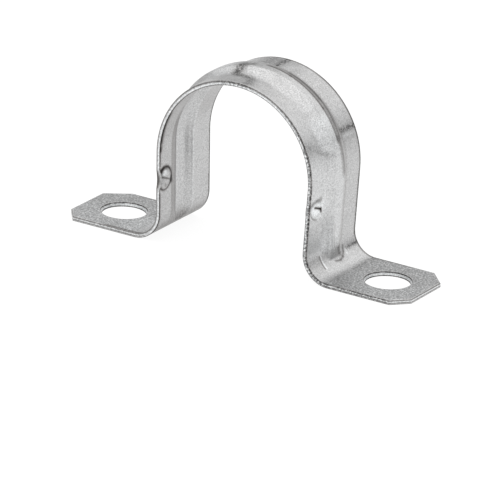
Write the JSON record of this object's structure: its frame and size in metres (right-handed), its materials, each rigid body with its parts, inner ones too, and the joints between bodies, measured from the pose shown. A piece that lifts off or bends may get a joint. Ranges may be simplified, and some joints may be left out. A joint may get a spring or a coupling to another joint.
{
  "type": "two-hole conduit strap",
  "caption": "Ribbed sheet-steel arch with two flat screw-down feet that clamps a round conduit to a wall or beam.",
  "frame": {"origin": "On the mounting surface, midway between the two feet and midway across the strap's width", "axes": "+X runs from foot to foot, +Y along the conduit away from the dimpled edge, +Z away from the mounting surface"},
  "size_m": [0.0688, 0.016, 0.0336],
  "materials": {
    "zinc_steel": "dull zinc plate over pressed sheet steel, faintly mottled, bright where sheared"
  },
  "bodies": {
    "root": {"strap": "zinc_steel"}
  },
  "joints": []
}
